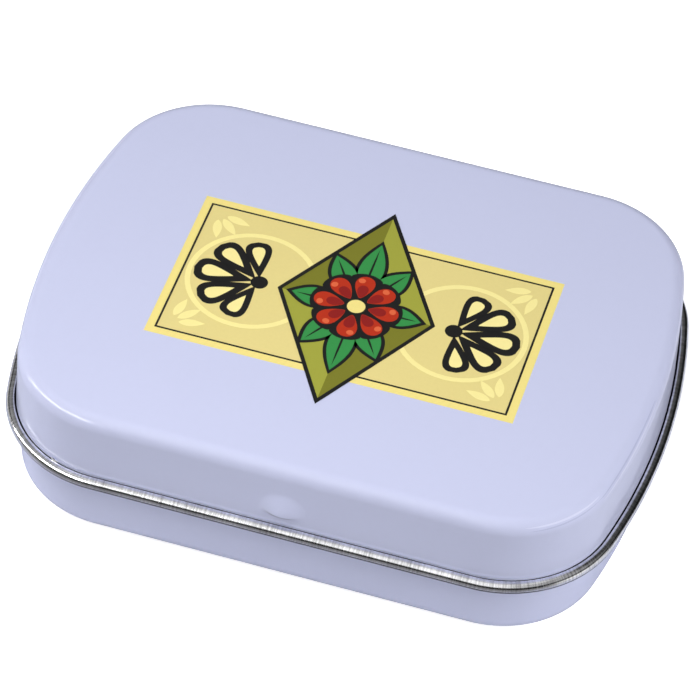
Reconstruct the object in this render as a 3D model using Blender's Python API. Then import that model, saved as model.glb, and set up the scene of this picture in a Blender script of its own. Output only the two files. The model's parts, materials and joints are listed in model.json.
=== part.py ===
"""Small hinged mint tin: a drawn tray and a drawn lid of tinplate, hooked together at the back.

The lid's lower edge is rolled outward into a bead. Two tongues of the tray's back wall pass out
through slots in the lid and curl round that bead, and the lid turns about the bead's centre.
The origin is the middle of the flat bottom, +X runs along the tin, -Y is the front, +Z is up.
"""

import math

import bmesh
import bpy

MM = 0.001

# The plan, measured over the bead
LENGTH = 60.0 * MM
DEPTH = 46.1 * MM
CORNER_RADIUS = 11.1 * MM
END_BOW_RADIUS = 65.0 * MM
HEIGHT = 14.4 * MM
SHEET = 0.25 * MM

# The lid
BEAD_RADIUS = 0.6 * MM
BEAD_HEIGHT = 7.15 * MM
BEAD_CURL = math.radians(292)
LID_DRAFT = 0.14 * MM
SHOULDER_RADIUS = 1.3 * MM

# The tray
WALL_GAP = 0.18 * MM
TRAY_EDGE_RADIUS = 1.5 * MM
NECK_STEP = 0.17 * MM
NECK_TALL = 0.5 * MM
NECK_BELOW_BEAD = 0.4 * MM
RIM_RISE = 3.0 * MM
RIM_RADIUS = 0.45 * MM
RIM_CURL = math.radians(260)

# The hinge
TONGUE_WIDTH = 5.0 * MM
TONGUE_FROM_CORNER = 1.5 * MM
TONGUE_CURL = math.radians(280)
NOTCH_SIDE_GAP = 0.4 * MM
NOTCH_BELOW_NECK = 0.1 * MM
SLOT_SIDE_GAP = 0.4 * MM
SLOT_GAP = 0.12 * MM

# The thumb bump in the lid's front
BUMP_WIDTH = 4.4 * MM
BUMP_TALL = 3.0 * MM
BUMP_OUT = 0.45 * MM
BUMP_HEIGHT = 10.0 * MM

# The print on the lid's top
INK = 0.010 * MM
INK_STEP = 0.015 * MM
LABEL_LENGTH = 34.3 * MM
LABEL_DEPTH = 18.4 * MM
LABEL_X = 0.1 * MM
LABEL_Y = -0.5 * MM
LABEL_MARGIN = 0.95 * MM
LINE_WIDTH = 0.11 * MM
LOZENGE_WIDTH = 14.0 * MM
LOZENGE_DEPTH = 24.0 * MM
LOZENGE_EDGE = 0.38 * MM
ROSETTE_RADIUS = 4.0 * MM
ROSETTE_EDGE = 0.30 * MM
PETALS = 8
LEAF_REACH = 8.2 * MM
LEAF_WAIST = 2.6 * MM
FAN_GAP = 0.9 * MM
FAN_REACH = 6.2 * MM
FAN_CORE = 0.9 * MM
FAN_LEAVES = 5
FAN_LEAF_ANGLE = math.radians(40)

# Facets
CORNER_STEPS = 7
BOW_STEPS = 2
SHOULDER_STEPS = 4
BEAD_STEPS = 12
RIM_STEPS = 8
TONGUE_STEPS = 12
BUMP_COLUMNS = 6
BUMP_ROWS = 4
PETAL_POINTS = 10
LEAF_POINTS = 10

PAINT = (0.62, 0.64, 0.80)
CREAM = (0.97, 0.87, 0.36)
TAN = (0.81, 0.68, 0.27)
BLACK = (0.01, 0.01, 0.01)
OLIVE = (0.30, 0.31, 0.05)
GREEN = (0.05, 0.28, 0.08)
RED = (0.45, 0.03, 0.012)

# Places that follow from the sizes above
HINGE_Y = DEPTH / 2 - BEAD_RADIUS
LID_INNER_INSET = 2 * BEAD_RADIUS
LID_OUTER_INSET = LID_INNER_INSET - SHEET
SHOULDER_INSET = LID_OUTER_INSET + LID_DRAFT
TRAY_INSET = LID_INNER_INSET + WALL_GAP
NECK_INSET = TRAY_INSET + NECK_STEP
NECK_TOP = BEAD_HEIGHT - NECK_BELOW_BEAD
NECK_BOTTOM = NECK_TOP - NECK_TALL
NOTCH_BOTTOM = NECK_BOTTOM - NOTCH_BELOW_NECK
RIM_TOP = BEAD_HEIGHT + RIM_RISE
TONGUE_INNER = TRAY_INSET - BEAD_RADIUS
TONGUE_OUTER = TONGUE_INNER + SHEET
CORNER_Y = DEPTH / 2 - CORNER_RADIUS
BOW_X = LENGTH / 2 - END_BOW_RADIUS
CORNER_X = BOW_X + math.sqrt((END_BOW_RADIUS - CORNER_RADIUS) ** 2 - CORNER_Y**2)
TONGUE_X = CORNER_X - TONGUE_FROM_CORNER - TONGUE_WIDTH / 2

# The slot clears the tongue where it crosses the lid's wall
WALL_NEAR = BEAD_RADIUS - SHEET
SLOT_BOTTOM = BEAD_HEIGHT + math.sqrt(TONGUE_INNER**2 - BEAD_RADIUS**2) - SLOT_GAP
SLOT_TOP = BEAD_HEIGHT + math.sqrt(TONGUE_OUTER**2 - WALL_NEAR**2) + SLOT_GAP


def clear_scene():
    for obj in list(bpy.data.objects):
        bpy.data.objects.remove(obj)


def material(name, colour, roughness, metallic=0.0):
    made = bpy.data.materials.new(name)
    made.use_nodes = True
    shader = made.node_tree.nodes["Principled BSDF"]
    shader.inputs["Base Color"].default_value = (*colour, 1.0)
    shader.inputs["Roughness"].default_value = roughness
    shader.inputs["Metallic"].default_value = metallic
    return made


def add_object(name, bm, finish, smooth_angle=None):
    bmesh.ops.recalc_face_normals(bm, faces=bm.faces)
    mesh = bpy.data.meshes.new(name)
    bm.to_mesh(mesh)
    bm.free()
    if smooth_angle:
        mesh.shade_smooth()
        mesh.set_sharp_from_angle(angle=smooth_angle)
    mesh.materials.append(finish)
    obj = bpy.data.objects.new(name, mesh)
    bpy.context.scene.collection.objects.link(obj)
    return obj


def spread(start, end, steps):
    return [start + (end - start) * k / steps for k in range(steps + 1)]


def plan_columns(rear_x=(), front_x=()):
    """Points (x, y) of the plan over the bead, each with its outward normal (x, y), all the way round.

    Each end is a shallow arc, each corner an arc tangent to it, and the long sides are straight.
    rear_x and front_x are further places along the straight sides.
    """
    bow_angle = math.atan2(CORNER_Y, CORNER_X - BOW_X)
    quarter = [(BOW_X, 0.0, END_BOW_RADIUS, a) for a in spread(0.0, bow_angle, BOW_STEPS)[:-1]]
    quarter += [
        (CORNER_X, CORNER_Y, CORNER_RADIUS, a)
        for a in spread(bow_angle, math.pi / 2, CORNER_STEPS)
    ]
    first = [
        (cx + r * math.cos(a), cy + r * math.sin(a), math.cos(a), math.sin(a))
        for cx, cy, r, a in quarter
    ]
    second = [(-x, y, -nx, ny) for x, y, nx, ny in reversed(first[1:])]
    left_end = [(-x, y, -nx, ny) for x, y, nx, ny in first[:1]]
    third = [(-x, -y, -nx, -ny) for x, y, nx, ny in first[1:]]
    fourth = [(x, -y, nx, -ny) for x, y, nx, ny in reversed(first[1:])]
    rear = [(x, DEPTH / 2, 0.0, 1.0) for x in sorted(rear_x, reverse=True)]
    front = [(x, -DEPTH / 2, 0.0, -1.0) for x in sorted(front_x)]
    return first + rear + second + left_end + third + front + fourth


def arc(inset, z, radius, start, end, steps):
    """Section points (inset, z) on an arc: angle 0 points out of the tin and 90 degrees points up."""
    return [
        (inset - radius * math.cos(a), z + radius * math.sin(a))
        for a in spread(start, end, steps)
    ]


class Shell:
    """A sheet whose section runs round the plan, built column by column with shared points."""

    def __init__(self, columns, press=None):
        self.bm = bmesh.new()
        self.columns = columns
        self.press = press
        self.points = {}

    def vertex(self, j, point):
        j %= len(self.columns)
        key = (j, point)
        if key not in self.points:
            x, y, nx, ny = self.columns[j]
            inset, z = point
            out = self.press(x, y, z) if self.press else 0.0
            place = (x - nx * inset + nx * out, y - ny * inset + ny * out, z)
            self.points[key] = self.bm.verts.new(place)
        return self.points[key]

    def quad(self, j, a, b):
        corners = [self.vertex(j, a), self.vertex(j, b), self.vertex(j + 1, b), self.vertex(j + 1, a)]
        self.bm.faces.new(corners)

    def run(self, section, spans):
        """Faces along the section, between each column of spans and the next."""
        for j in spans:
            for a, b in zip(section, section[1:]):
                self.quad(j, a, b)

    def cut_end(self, j, section):
        self.bm.faces.new([self.vertex(j, point) for point in section])

    def flat(self, point):
        self.bm.faces.new([self.vertex(j, point) for j in range(len(self.columns))])


def spans_between(columns, low, high):
    """The columns on the back whose stretch to the next column lies from x = low to x = high."""
    found = []
    for j, (x, y, _, ny) in enumerate(columns):
        next_x, _, _, next_ny = columns[(j + 1) % len(columns)]
        if ny == 1.0 and next_ny == 1.0 and low < (x + next_x) / 2 < high:
            found.append(j)
    return found


def make_tray(finish):
    edges = [TONGUE_WIDTH / 2, TONGUE_WIDTH / 2 + NOTCH_SIDE_GAP]
    columns = plan_columns(
        rear_x=[side * TONGUE_X + way * e for side in (-1, 1) for way in (-1, 1) for e in edges]
    )
    shell = Shell(columns)
    everywhere = range(len(columns))
    flat_inset = TRAY_INSET + TRAY_EDGE_RADIUS
    quarter_turn = math.pi / 2

    outer_foot = arc(flat_inset, TRAY_EDGE_RADIUS, TRAY_EDGE_RADIUS, -quarter_turn, 0, SHOULDER_STEPS)
    inner_foot = arc(flat_inset, TRAY_EDGE_RADIUS, TRAY_EDGE_RADIUS - SHEET, 0, -quarter_turn, SHOULDER_STEPS)
    outer_notch = (TRAY_INSET, NOTCH_BOTTOM)
    inner_notch = (TRAY_INSET + SHEET, NOTCH_BOTTOM)
    shell.run(outer_foot + [outer_notch], everywhere)
    shell.run([inner_notch] + inner_foot, everywhere)

    rim_inset = NECK_INSET + RIM_RADIUS
    rim_z = RIM_TOP - RIM_RADIUS
    wall = [outer_notch, (TRAY_INSET, NECK_BOTTOM), (NECK_INSET, NECK_TOP)]
    wall += arc(rim_inset, rim_z, RIM_RADIUS, 0, RIM_CURL, RIM_STEPS)
    wall += arc(rim_inset, rim_z, RIM_RADIUS - SHEET, RIM_CURL, 0, RIM_STEPS)
    wall += [(NECK_INSET + SHEET, NECK_TOP), (TRAY_INSET + SHEET, NECK_BOTTOM), inner_notch]

    tongue_end = math.pi - TONGUE_CURL
    tongue = [outer_notch]
    tongue += arc(BEAD_RADIUS, BEAD_HEIGHT, TONGUE_INNER, math.pi, tongue_end, TONGUE_STEPS)
    tongue += arc(BEAD_RADIUS, BEAD_HEIGHT, TONGUE_OUTER, tongue_end, math.pi, TONGUE_STEPS)
    tongue += [inner_notch]

    notched = set()
    for side in (-1, 1):
        middle = side * TONGUE_X
        half_notch = TONGUE_WIDTH / 2 + NOTCH_SIDE_GAP
        notch = spans_between(columns, middle - half_notch, middle + half_notch)
        under = spans_between(columns, middle - TONGUE_WIDTH / 2, middle + TONGUE_WIDTH / 2)
        notched.update(notch)
        shell.run(tongue, under)
        shell.run([outer_notch, inner_notch], [j for j in notch if j not in under])
        for j in (min(under), max(under) + 1):
            shell.cut_end(j, tongue)
        for j in (min(notch), max(notch) + 1):
            shell.cut_end(j, wall)
    shell.run(wall, [j for j in everywhere if j not in notched])
    shell.flat(outer_foot[0])
    shell.flat(inner_foot[-1])
    return add_object("base", shell.bm, finish, math.radians(40))


def thumb_bump(x, y, z):
    """How far the lid's front is pressed out: an oval dome that fades to nothing at its edge."""
    if y > 0:
        return 0.0
    across = x / (BUMP_WIDTH / 2)
    up = (z - BUMP_HEIGHT) / (BUMP_TALL / 2)
    return BUMP_OUT * max(0.0, 1.0 - across**2 - up**2)


def lid_wall_inset(z):
    share = (z - BEAD_HEIGHT) / (HEIGHT - SHOULDER_RADIUS - BEAD_HEIGHT)
    return LID_OUTER_INSET + LID_DRAFT * share


def make_lid(finish):
    half_slot = TONGUE_WIDTH / 2 + SLOT_SIDE_GAP
    columns = plan_columns(
        rear_x=[side * TONGUE_X + way * half_slot for side in (-1, 1) for way in (-1, 1)],
        front_x=spread(-BUMP_WIDTH / 2, BUMP_WIDTH / 2, BUMP_COLUMNS),
    )
    shell = Shell(columns, thumb_bump)
    quarter_turn = math.pi / 2
    flat_inset = SHOULDER_INSET + SHOULDER_RADIUS
    shoulder_z = HEIGHT - SHOULDER_RADIUS
    bead_end = math.pi + BEAD_CURL

    rows = spread(BUMP_HEIGHT + BUMP_TALL / 2, BUMP_HEIGHT - BUMP_TALL / 2, BUMP_ROWS)
    rows = sorted(rows + [SLOT_TOP, SLOT_BOTTOM], reverse=True)
    outer = arc(flat_inset, shoulder_z, SHOULDER_RADIUS, quarter_turn, 0, SHOULDER_STEPS)
    outer += [(lid_wall_inset(z), z) for z in rows]
    outer += arc(BEAD_RADIUS, BEAD_HEIGHT, BEAD_RADIUS - SHEET, math.pi, bead_end, BEAD_STEPS)
    inner = arc(BEAD_RADIUS, BEAD_HEIGHT, BEAD_RADIUS, bead_end, math.pi, BEAD_STEPS)
    inner += [(lid_wall_inset(z) + SHEET, z) for z in reversed(rows)]
    inner += arc(flat_inset, shoulder_z, SHOULDER_RADIUS - SHEET, 0, quarter_turn, SHOULDER_STEPS)

    slot_outer = [(lid_wall_inset(z), z) for z in (SLOT_TOP, SLOT_BOTTOM)]
    slot_inner = [(lid_wall_inset(z) + SHEET, z) for z in (SLOT_BOTTOM, SLOT_TOP)]
    slotted = set()
    for side in (-1, 1):
        middle = side * TONGUE_X
        slot = spans_between(columns, middle - half_slot, middle + half_slot)
        slotted.update(slot)
        shell.run([slot_outer[0], slot_inner[1]], slot)
        shell.run([slot_outer[1], slot_inner[0]], slot)
        for j in (min(slot), max(slot) + 1):
            shell.cut_end(j, slot_outer + slot_inner)
    section = outer + inner
    for a, b in zip(section, section[1:]):
        at_slot = [a, b] in (slot_outer, slot_inner)
        shell.run([a, b], [j for j in range(len(columns)) if not (at_slot and j in slotted)])
    shell.flat(outer[0])
    shell.flat(inner[-1])
    return add_object("lid", shell.bm, finish, math.radians(40))


def make_print(name, outline, level, finish):
    """A field of ink: a flat outline round the label's middle, lying level steps above the lid."""
    low = HEIGHT + INK_STEP - INK + level * INK_STEP
    bm = bmesh.new()
    rings = [
        [bm.verts.new((LABEL_X + x, LABEL_Y + y, z)) for x, y in outline]
        for z in (low, low + INK)
    ]
    for ring in rings:
        bm.faces.new(ring)
    count = len(outline)
    for j in range(count):
        k = (j + 1) % count
        bm.faces.new([rings[0][j], rings[0][k], rings[1][k], rings[1][j]])
    return add_object(name, bm, finish)


def rectangle(length, depth):
    x, y = length / 2, depth / 2
    return [(-x, -y), (x, -y), (x, y), (-x, y)]


def lozenge(grow):
    """A diamond whose four sides stand off by grow."""
    slant = math.hypot(LOZENGE_WIDTH, LOZENGE_DEPTH)
    x = LOZENGE_WIDTH / 2 + grow * slant / LOZENGE_DEPTH
    y = LOZENGE_DEPTH / 2 + grow * slant / LOZENGE_WIDTH
    return [(x, 0.0), (0.0, y), (-x, 0.0), (0.0, -y)]


def polar(radius_at, steps):
    turns = [2 * math.pi * k / steps for k in range(steps)]
    return [(radius_at(t) * math.cos(t), radius_at(t) * math.sin(t)) for t in turns]


def rosette(grow):
    """Round petals: the radius dips between one petal and the next."""
    return polar(
        lambda t: (ROSETTE_RADIUS + grow) * (0.8 + 0.2 * math.sqrt(abs(math.cos(PETALS * t / 2)))),
        PETALS * PETAL_POINTS,
    )


def leaf_cross():
    """Two long leaves up and down and two short ones across, behind the rosette."""
    reach = LEAF_REACH - LEAF_WAIST

    def radius(t):
        upright = abs(math.sin(t)) ** 6
        across = 0.55 * abs(math.cos(t)) ** 8
        return LEAF_WAIST + reach * (upright + across)

    return polar(radius, 4 * LEAF_POINTS)


def fan(side):
    """Leaves spread from one point beside the lozenge: the radius swells once a leaf."""
    middle = LOZENGE_WIDTH / 2 + LOZENGE_EDGE + FAN_GAP + FAN_CORE
    spread_angle = FAN_LEAVES * FAN_LEAF_ANGLE / 2
    points = []
    for angle in spread(-spread_angle, spread_angle, FAN_LEAVES * LEAF_POINTS):
        swell = abs(math.cos(math.pi * angle / FAN_LEAF_ANGLE)) ** 0.7
        shorter = 0.75 + 0.25 * math.cos(angle)
        radius = FAN_CORE + (FAN_REACH - FAN_CORE) * swell * shorter
        points.append((side * (middle + radius * math.cos(angle)), radius * math.sin(angle)))
    return points


def make_label():
    cream = material("cream_ink", CREAM, 0.4)
    tan = material("tan_ink", TAN, 0.4)
    black = material("black_ink", BLACK, 0.4)
    field_length = LABEL_LENGTH - 2 * LABEL_MARGIN
    field_depth = LABEL_DEPTH - 2 * LABEL_MARGIN
    keyline = rectangle(field_length + 2 * LINE_WIDTH, field_depth + 2 * LINE_WIDTH)
    return [
        make_print("print_ground", rectangle(LABEL_LENGTH, LABEL_DEPTH), 0, cream),
        make_print("print_keyline", keyline, 1, black),
        make_print("print_field", rectangle(field_length, field_depth), 2, tan),
        make_print("print_lozenge_edge", lozenge(LOZENGE_EDGE), 3, black),
        make_print("print_fan_left", fan(-1), 3, black),
        make_print("print_fan_right", fan(1), 3, black),
        make_print("print_lozenge", lozenge(0.0), 4, material("olive_ink", OLIVE, 0.4)),
        make_print("print_leaves", leaf_cross(), 5, material("green_ink", GREEN, 0.4)),
        make_print("print_rosette_edge", rosette(ROSETTE_EDGE), 6, black),
        make_print("print_rosette", rosette(0.0), 7, material("red_ink", RED, 0.4)),
    ]


def main():
    clear_scene()
    paint = material("lavender_paint", PAINT, 0.35)
    make_tray(paint)
    hinge = bpy.data.objects.new("hinge_axis", None)
    hinge.location = (0.0, HINGE_Y, BEAD_HEIGHT)
    bpy.context.scene.collection.objects.link(hinge)
    for obj in [make_lid(paint), *make_label()]:
        obj.parent = hinge
        obj.location = -hinge.location


main()
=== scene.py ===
"""A small hinged mint tin in a plain studio: two pressings of enamelled tinplate and a printed label."""

import json

import bmesh
import bpy
import numpy as np
from mathutils import Matrix, Vector


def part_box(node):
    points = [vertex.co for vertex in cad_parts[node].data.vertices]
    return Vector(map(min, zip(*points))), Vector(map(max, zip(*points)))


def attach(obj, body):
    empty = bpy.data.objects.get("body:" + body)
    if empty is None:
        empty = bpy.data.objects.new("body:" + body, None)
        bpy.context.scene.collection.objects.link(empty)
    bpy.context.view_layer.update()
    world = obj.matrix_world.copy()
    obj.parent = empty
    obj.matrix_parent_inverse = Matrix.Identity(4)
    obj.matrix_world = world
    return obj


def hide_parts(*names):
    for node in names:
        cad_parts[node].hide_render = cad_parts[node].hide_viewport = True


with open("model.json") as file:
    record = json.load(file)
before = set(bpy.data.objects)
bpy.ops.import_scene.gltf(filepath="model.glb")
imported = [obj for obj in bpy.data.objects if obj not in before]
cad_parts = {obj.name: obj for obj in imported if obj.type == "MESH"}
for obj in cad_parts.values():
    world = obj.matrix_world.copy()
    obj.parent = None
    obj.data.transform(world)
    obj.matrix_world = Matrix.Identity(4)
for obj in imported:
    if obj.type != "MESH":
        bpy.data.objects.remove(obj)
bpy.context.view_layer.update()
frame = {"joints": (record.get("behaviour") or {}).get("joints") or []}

# The tray: one sheet of tinplate drawn into a dish, enamelled outside before it was pressed. Its wall
# is necked in where the lid slips over it, and its rim is curled inward. At the back two tongues of
# the same wall reach out over the lid's bead and hook round it.
MM = 0.001
SHEET = 0.25 * MM
LENGTH = 60.0 * MM
CORNER_RADIUS = 11.1 * MM
END_BOW_RADIUS = 65.0 * MM
BEAD_RADIUS = 0.6 * MM
_, HINGE_Y, BEAD_HEIGHT = frame["joints"][0]["pos_m"]
DEPTH = 2 * (HINGE_Y + BEAD_RADIUS)
CORNER_Y = DEPTH / 2 - CORNER_RADIUS
BOW_X = LENGTH / 2 - END_BOW_RADIUS
CORNER_X = BOW_X + np.sqrt((END_BOW_RADIUS - CORNER_RADIUS) ** 2 - CORNER_Y**2)
TRAY_INSET = 2 * BEAD_RADIUS + 0.18 * MM
TRAY_EDGE_RADIUS = 1.5 * MM
NECK_INSET = TRAY_INSET + 0.17 * MM
NECK_TOP = BEAD_HEIGHT - 0.4 * MM
NECK_BOTTOM = NECK_TOP - 0.5 * MM
NOTCH_BOTTOM = NECK_BOTTOM - 0.1 * MM
RIM_RADIUS = 0.45 * MM
RIM_CURL = np.radians(260)
RIM_Z = BEAD_HEIGHT + 3.0 * MM - RIM_RADIUS
TONGUE_INNER = TRAY_INSET - BEAD_RADIUS
TONGUE_OUTER = TONGUE_INNER + SHEET
TONGUE_CURL = np.radians(280)
HALF_TONGUE = 2.5 * MM
HALF_NOTCH = HALF_TONGUE + 0.4 * MM
TONGUE_X = CORNER_X - 1.5 * MM - HALF_TONGUE
FLAT_RINGS = np.array([8.0, 5.0, 3.4]) * MM
BOW_STEPS, CORNER_STEPS, STRAIGHT_STEPS = 12, 34, 24
FOOT_STEPS, RIM_STEPS, TONGUE_STEPS = 12, 24, 40
HALF_TURN, QUARTER_TURN = np.pi, np.pi / 2
ROUNDING, NEAR, JOIN_DISTANCE = 1e-9, 1e-6, 1e-7
SHARP_EDGE = np.radians(35)


def plan_line(back_x, front_x):
    """The tin's plan over the bead: places, outward normals and the way gone round, counter-clockwise.

    Each end is an arc of END_BOW_RADIUS, each corner an arc tangent to it, and the long sides are
    straight. back_x and front_x are the places along the straight sides, from left to right.
    """
    meeting = np.arctan2(CORNER_Y, CORNER_X - BOW_X)
    bow = np.linspace(0, meeting, BOW_STEPS, endpoint=False)
    corner = np.linspace(meeting, QUARTER_TURN, CORNER_STEPS)
    angle = np.concatenate([bow, corner])
    radius = np.where(angle < meeting, END_BOW_RADIUS, CORNER_RADIUS)
    middle = np.where((angle < meeting)[:, None], (BOW_X, 0.0), (CORNER_X, CORNER_Y))
    normal = np.column_stack([np.cos(angle), np.sin(angle)])
    place = middle + radius[:, None] * normal
    places, normals = [], []
    quarters = ((1, 1, 1), (-1, 1, -1), (-1, -1, 1), (1, -1, -1))
    for k, (across, along, way) in enumerate(quarters):
        end = slice(None) if way > 0 else slice(-1, 0, -1)
        skip = 1 if k == 2 else 0
        places.append((place * (across, along))[end][skip:])
        normals.append((normal * (across, along))[end][skip:])
        side = {0: (back_x[::-1], 1), 2: (front_x, -1)}.get(k)
        if side:
            x, facing = side
            places.append(np.column_stack([x, np.full(len(x), facing * DEPTH / 2)]))
            normals.append(np.tile((0.0, facing), (len(x), 1)))
        if k == 1:
            places.append(place[:1] * (-1, 1))
            normals.append(normal[:1] * (-1, 1))
    places, normals = np.vstack(places), np.vstack(normals)
    steps = np.linalg.norm(np.roll(places, -1, axis=0) - places, axis=1)
    return places, normals, np.concatenate([[0.0], np.cumsum(steps)])


def straight_places(*marks):
    """Places from corner to corner along a straight side, with every mark among them."""
    ends = CORNER_X * np.linspace(-1, 1, STRAIGHT_STEPS + 2)[1:-1]
    return np.unique(np.round(np.concatenate([ends, *marks]), 8))


def arc(inset, z, radius, start, end, steps):
    """Section points (inset, z) on an arc. Angle 0 points out of the tin, and a quarter turn points up."""
    angle = np.linspace(start, end, steps + 1)
    return np.column_stack([inset - radius * np.cos(angle), z + radius * np.sin(angle)])


def carried(places, normals, section, press=None):
    """A section carried round the plan: grid[j, k] is plan place j moved in by section inset k, at height k.

    press(x, y, z) is how far each point is pushed out again.
    """
    inset, z = section[:, 0], section[:, 1]
    flat = places[:, None] - normals[:, None] * inset[None, :, None]
    heights = np.broadcast_to(z, flat.shape[:2])
    if press:
        flat = flat + normals[:, None] * press(flat[..., 0], flat[..., 1], heights)[..., None]
    return np.dstack([flat, heights])


def section_way(section):
    """The way gone along a section at each of its points."""
    return np.concatenate([[0.0], np.cumsum(np.linalg.norm(np.diff(section, axis=0), axis=1))])


def new_sheet():
    return {"places": [], "faces": [], "uv": [], "finish": [], "count": 0}


def add_grid(sheet, grid, around, along, keep, finish):
    """Quads between the grid's columns j, j + 1 and rows k, k + 1 where keep[j, k].

    around and along are the ways gone at columns and rows, for the sheet's map, and finish[k] is the
    material of row k.
    """
    columns, rows = grid.shape[:2]
    j, k = np.nonzero(keep)
    after = (j + 1) % columns
    corner = np.column_stack([j * rows + k, j * rows + k + 1, after * rows + k + 1, after * rows + k])
    u = np.column_stack([around[j], around[j], around[j + 1], around[j + 1]])
    v = np.column_stack([along[k], along[k + 1], along[k + 1], along[k]])
    sheet["faces"] += (corner + sheet["count"]).tolist()
    sheet["uv"].append(np.stack([u, v], axis=-1).reshape(-1, 2))
    sheet["finish"].append(np.asarray(finish)[k])
    sheet["places"].append(grid.reshape(-1, 3))
    sheet["count"] += grid.shape[0] * grid.shape[1]


def add_polygon(sheet, corners, finish):
    """One flat face round these corners, mapped as it lies."""
    corners = np.asarray(corners)
    sheet["faces"].append(list(range(sheet["count"], sheet["count"] + len(corners))))
    sheet["uv"].append(corners[:, [0, 2]])
    sheet["finish"].append(np.array([finish]))
    sheet["places"].append(corners)
    sheet["count"] += len(corners)


def sheet_object(name, sheet, materials):
    """The sheet as one closed mesh: shared corners are joined, and edges past SHARP_EDGE stay sharp."""
    mesh = bpy.data.meshes.new(name)
    mesh.from_pydata(np.vstack(sheet["places"]), [], sheet["faces"])
    mesh.uv_layers.new(name="UVMap")
    mesh.uv_layers[0].uv.foreach_set("vector", np.vstack(sheet["uv"]).astype(np.float32).ravel())
    mesh.polygons.foreach_set("material_index", np.concatenate(sheet["finish"]).astype(np.int32))
    for finish in materials:
        mesh.materials.append(finish)
    work = bmesh.new()
    work.from_mesh(mesh)
    loose = [vertex for vertex in work.verts if not vertex.link_faces]
    bmesh.ops.delete(work, geom=loose, context="VERTS")
    bmesh.ops.remove_doubles(work, verts=work.verts, dist=JOIN_DISTANCE)
    work.to_mesh(mesh)
    work.free()
    mesh.shade_smooth()
    mesh.set_sharp_from_angle(angle=SHARP_EDGE)
    made = bpy.data.objects.new(name, mesh)
    bpy.context.scene.collection.objects.link(made)
    return made


def node(tree, kind, sockets=None, **settings):
    """A new shader node. sockets gives each input a value or a link, and settings its properties."""
    made = tree.nodes.new("ShaderNode" + kind)
    for name, value in settings.items():
        setattr(made, name, value)
    for name, value in (sockets or {}).items():
        if isinstance(value, bpy.types.NodeSocket):
            tree.links.new(value, made.inputs[name])
        else:
            made.inputs[name].default_value = value
    return made


def node_group(name, inputs, outputs):
    """An empty shader group with these named sockets, and its input and output nodes."""
    group = bpy.data.node_groups.new(name, "ShaderNodeTree")
    for way, sockets in (("INPUT", inputs), ("OUTPUT", outputs)):
        for label, kind in sockets.items():
            group.interface.new_socket(name=label, in_out=way, socket_type="NodeSocket" + kind)
    return group, group.nodes.new("NodeGroupInput"), group.nodes.new("NodeGroupOutput")


def new_material(name, group, values, **shader_values):
    """A Principled material whose colour, roughness and normal come from a group with these values."""
    made = bpy.data.materials.new(name)
    made.use_nodes = True
    tree = made.node_tree
    shader = tree.nodes["Principled BSDF"]
    placed = tree.nodes.new("ShaderNodeGroup")
    placed.node_tree = group
    for label, value in values.items():
        placed.inputs[label].default_value = value
    tree.links.new(placed.outputs["Colour"], shader.inputs["Base Color"])
    tree.links.new(placed.outputs["Roughness"], shader.inputs["Roughness"])
    tree.links.new(placed.outputs["Normal"], shader.inputs["Normal"])
    for label, value in shader_values.items():
        shader.inputs[label.replace("_", " ")].default_value = value
    return made


# Enamel: a stoved coat that shades a little over the sheet, with a fine peel and a few dust specks.
# Above the bead it is made paler in a narrow band: painted light that stands for light thrown up from the
# bead onto the wall. One input sets how much.
CLOUD_SCALE, PEEL_SCALE, SPECK_SCALE = 85.0, 1500.0, 210.0
CLOUD_SHARE, SPECK_SIZE, SPECK_RARITY = 0.75, 0.022, 0.86
ENAMEL_DULLNESS = {"To Min": 0.12, "To Max": 0.20}
ENAMEL_SHINE = 0.3
PAINTED_BOUNCE_BAND = {"From Min": BEAD_HEIGHT + 1.1 * MM, "From Max": BEAD_HEIGHT + 0.5 * MM}
SPECK_COLOUR = (0.30, 0.26, 0.36, 1.0)
enamel, given, out = node_group(
    "enamel",
    {"Paint": "Color", "Shading": "Float", "Peel": "Float", "Specks": "Float", "Painted bounce": "Float"},
    {"Colour": "Color", "Roughness": "Float", "Normal": "Vector"},
)
place = node(enamel, "TexCoord").outputs["Object"]
cloud = node(enamel, "TexNoise", {"Vector": place, "Scale": CLOUD_SCALE, "Detail": 2.0}).outputs["Fac"]
grain = node(enamel, "TexNoise", {"Vector": place, "Scale": PEEL_SCALE, "Detail": 2.0}).outputs["Fac"]
both = node(enamel, "Math", {0: cloud, 1: CLOUD_SHARE, 2: grain}, operation="MULTIPLY_ADD").outputs[0]
swing = node(enamel, "Math", {0: both, 1: (CLOUD_SHARE + 1) / 2}, operation="SUBTRACT").outputs[0]
level = node(enamel, "Math", {0: swing, 1: given.outputs["Shading"], 2: 1.0}, operation="MULTIPLY_ADD")
height = node(enamel, "SeparateXYZ", {0: place}).outputs["Z"]
painted_bounce = node(enamel, "MapRange", {"Value": height, **PAINTED_BOUNCE_BAND}).outputs[0]
painted_bounce = node(enamel, "Math", {0: painted_bounce, 1: given.outputs["Painted bounce"]}, operation="MULTIPLY").outputs[0]
level = node(enamel, "Math", {0: level.outputs[0], 1: painted_bounce}, operation="ADD")
shaded = node(enamel, "VectorMath", {0: given.outputs["Paint"], "Scale": level.outputs[0]}, operation="SCALE")
cells = node(enamel, "TexVoronoi", {"Vector": place, "Scale": SPECK_SCALE})
near = node(enamel, "Math", {0: cells.outputs["Distance"], 1: SPECK_SIZE}, operation="LESS_THAN").outputs[0]
lot = node(enamel, "SeparateColor", {0: cells.outputs["Color"]}).outputs["Red"]
drawn = node(enamel, "Math", {0: lot, 1: SPECK_RARITY}, operation="GREATER_THAN").outputs[0]
speck = node(enamel, "Math", {0: near, 1: drawn}, operation="MULTIPLY").outputs[0]
speck = node(enamel, "Math", {0: speck, 1: given.outputs["Specks"]}, operation="MULTIPLY").outputs[0]
dusted = node(enamel, "Mix", {0: speck, 6: shaded.outputs[0], 7: SPECK_COLOUR}, data_type="RGBA")
dull = node(enamel, "MapRange", {"Value": cloud, **ENAMEL_DULLNESS}).outputs[0]
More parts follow.
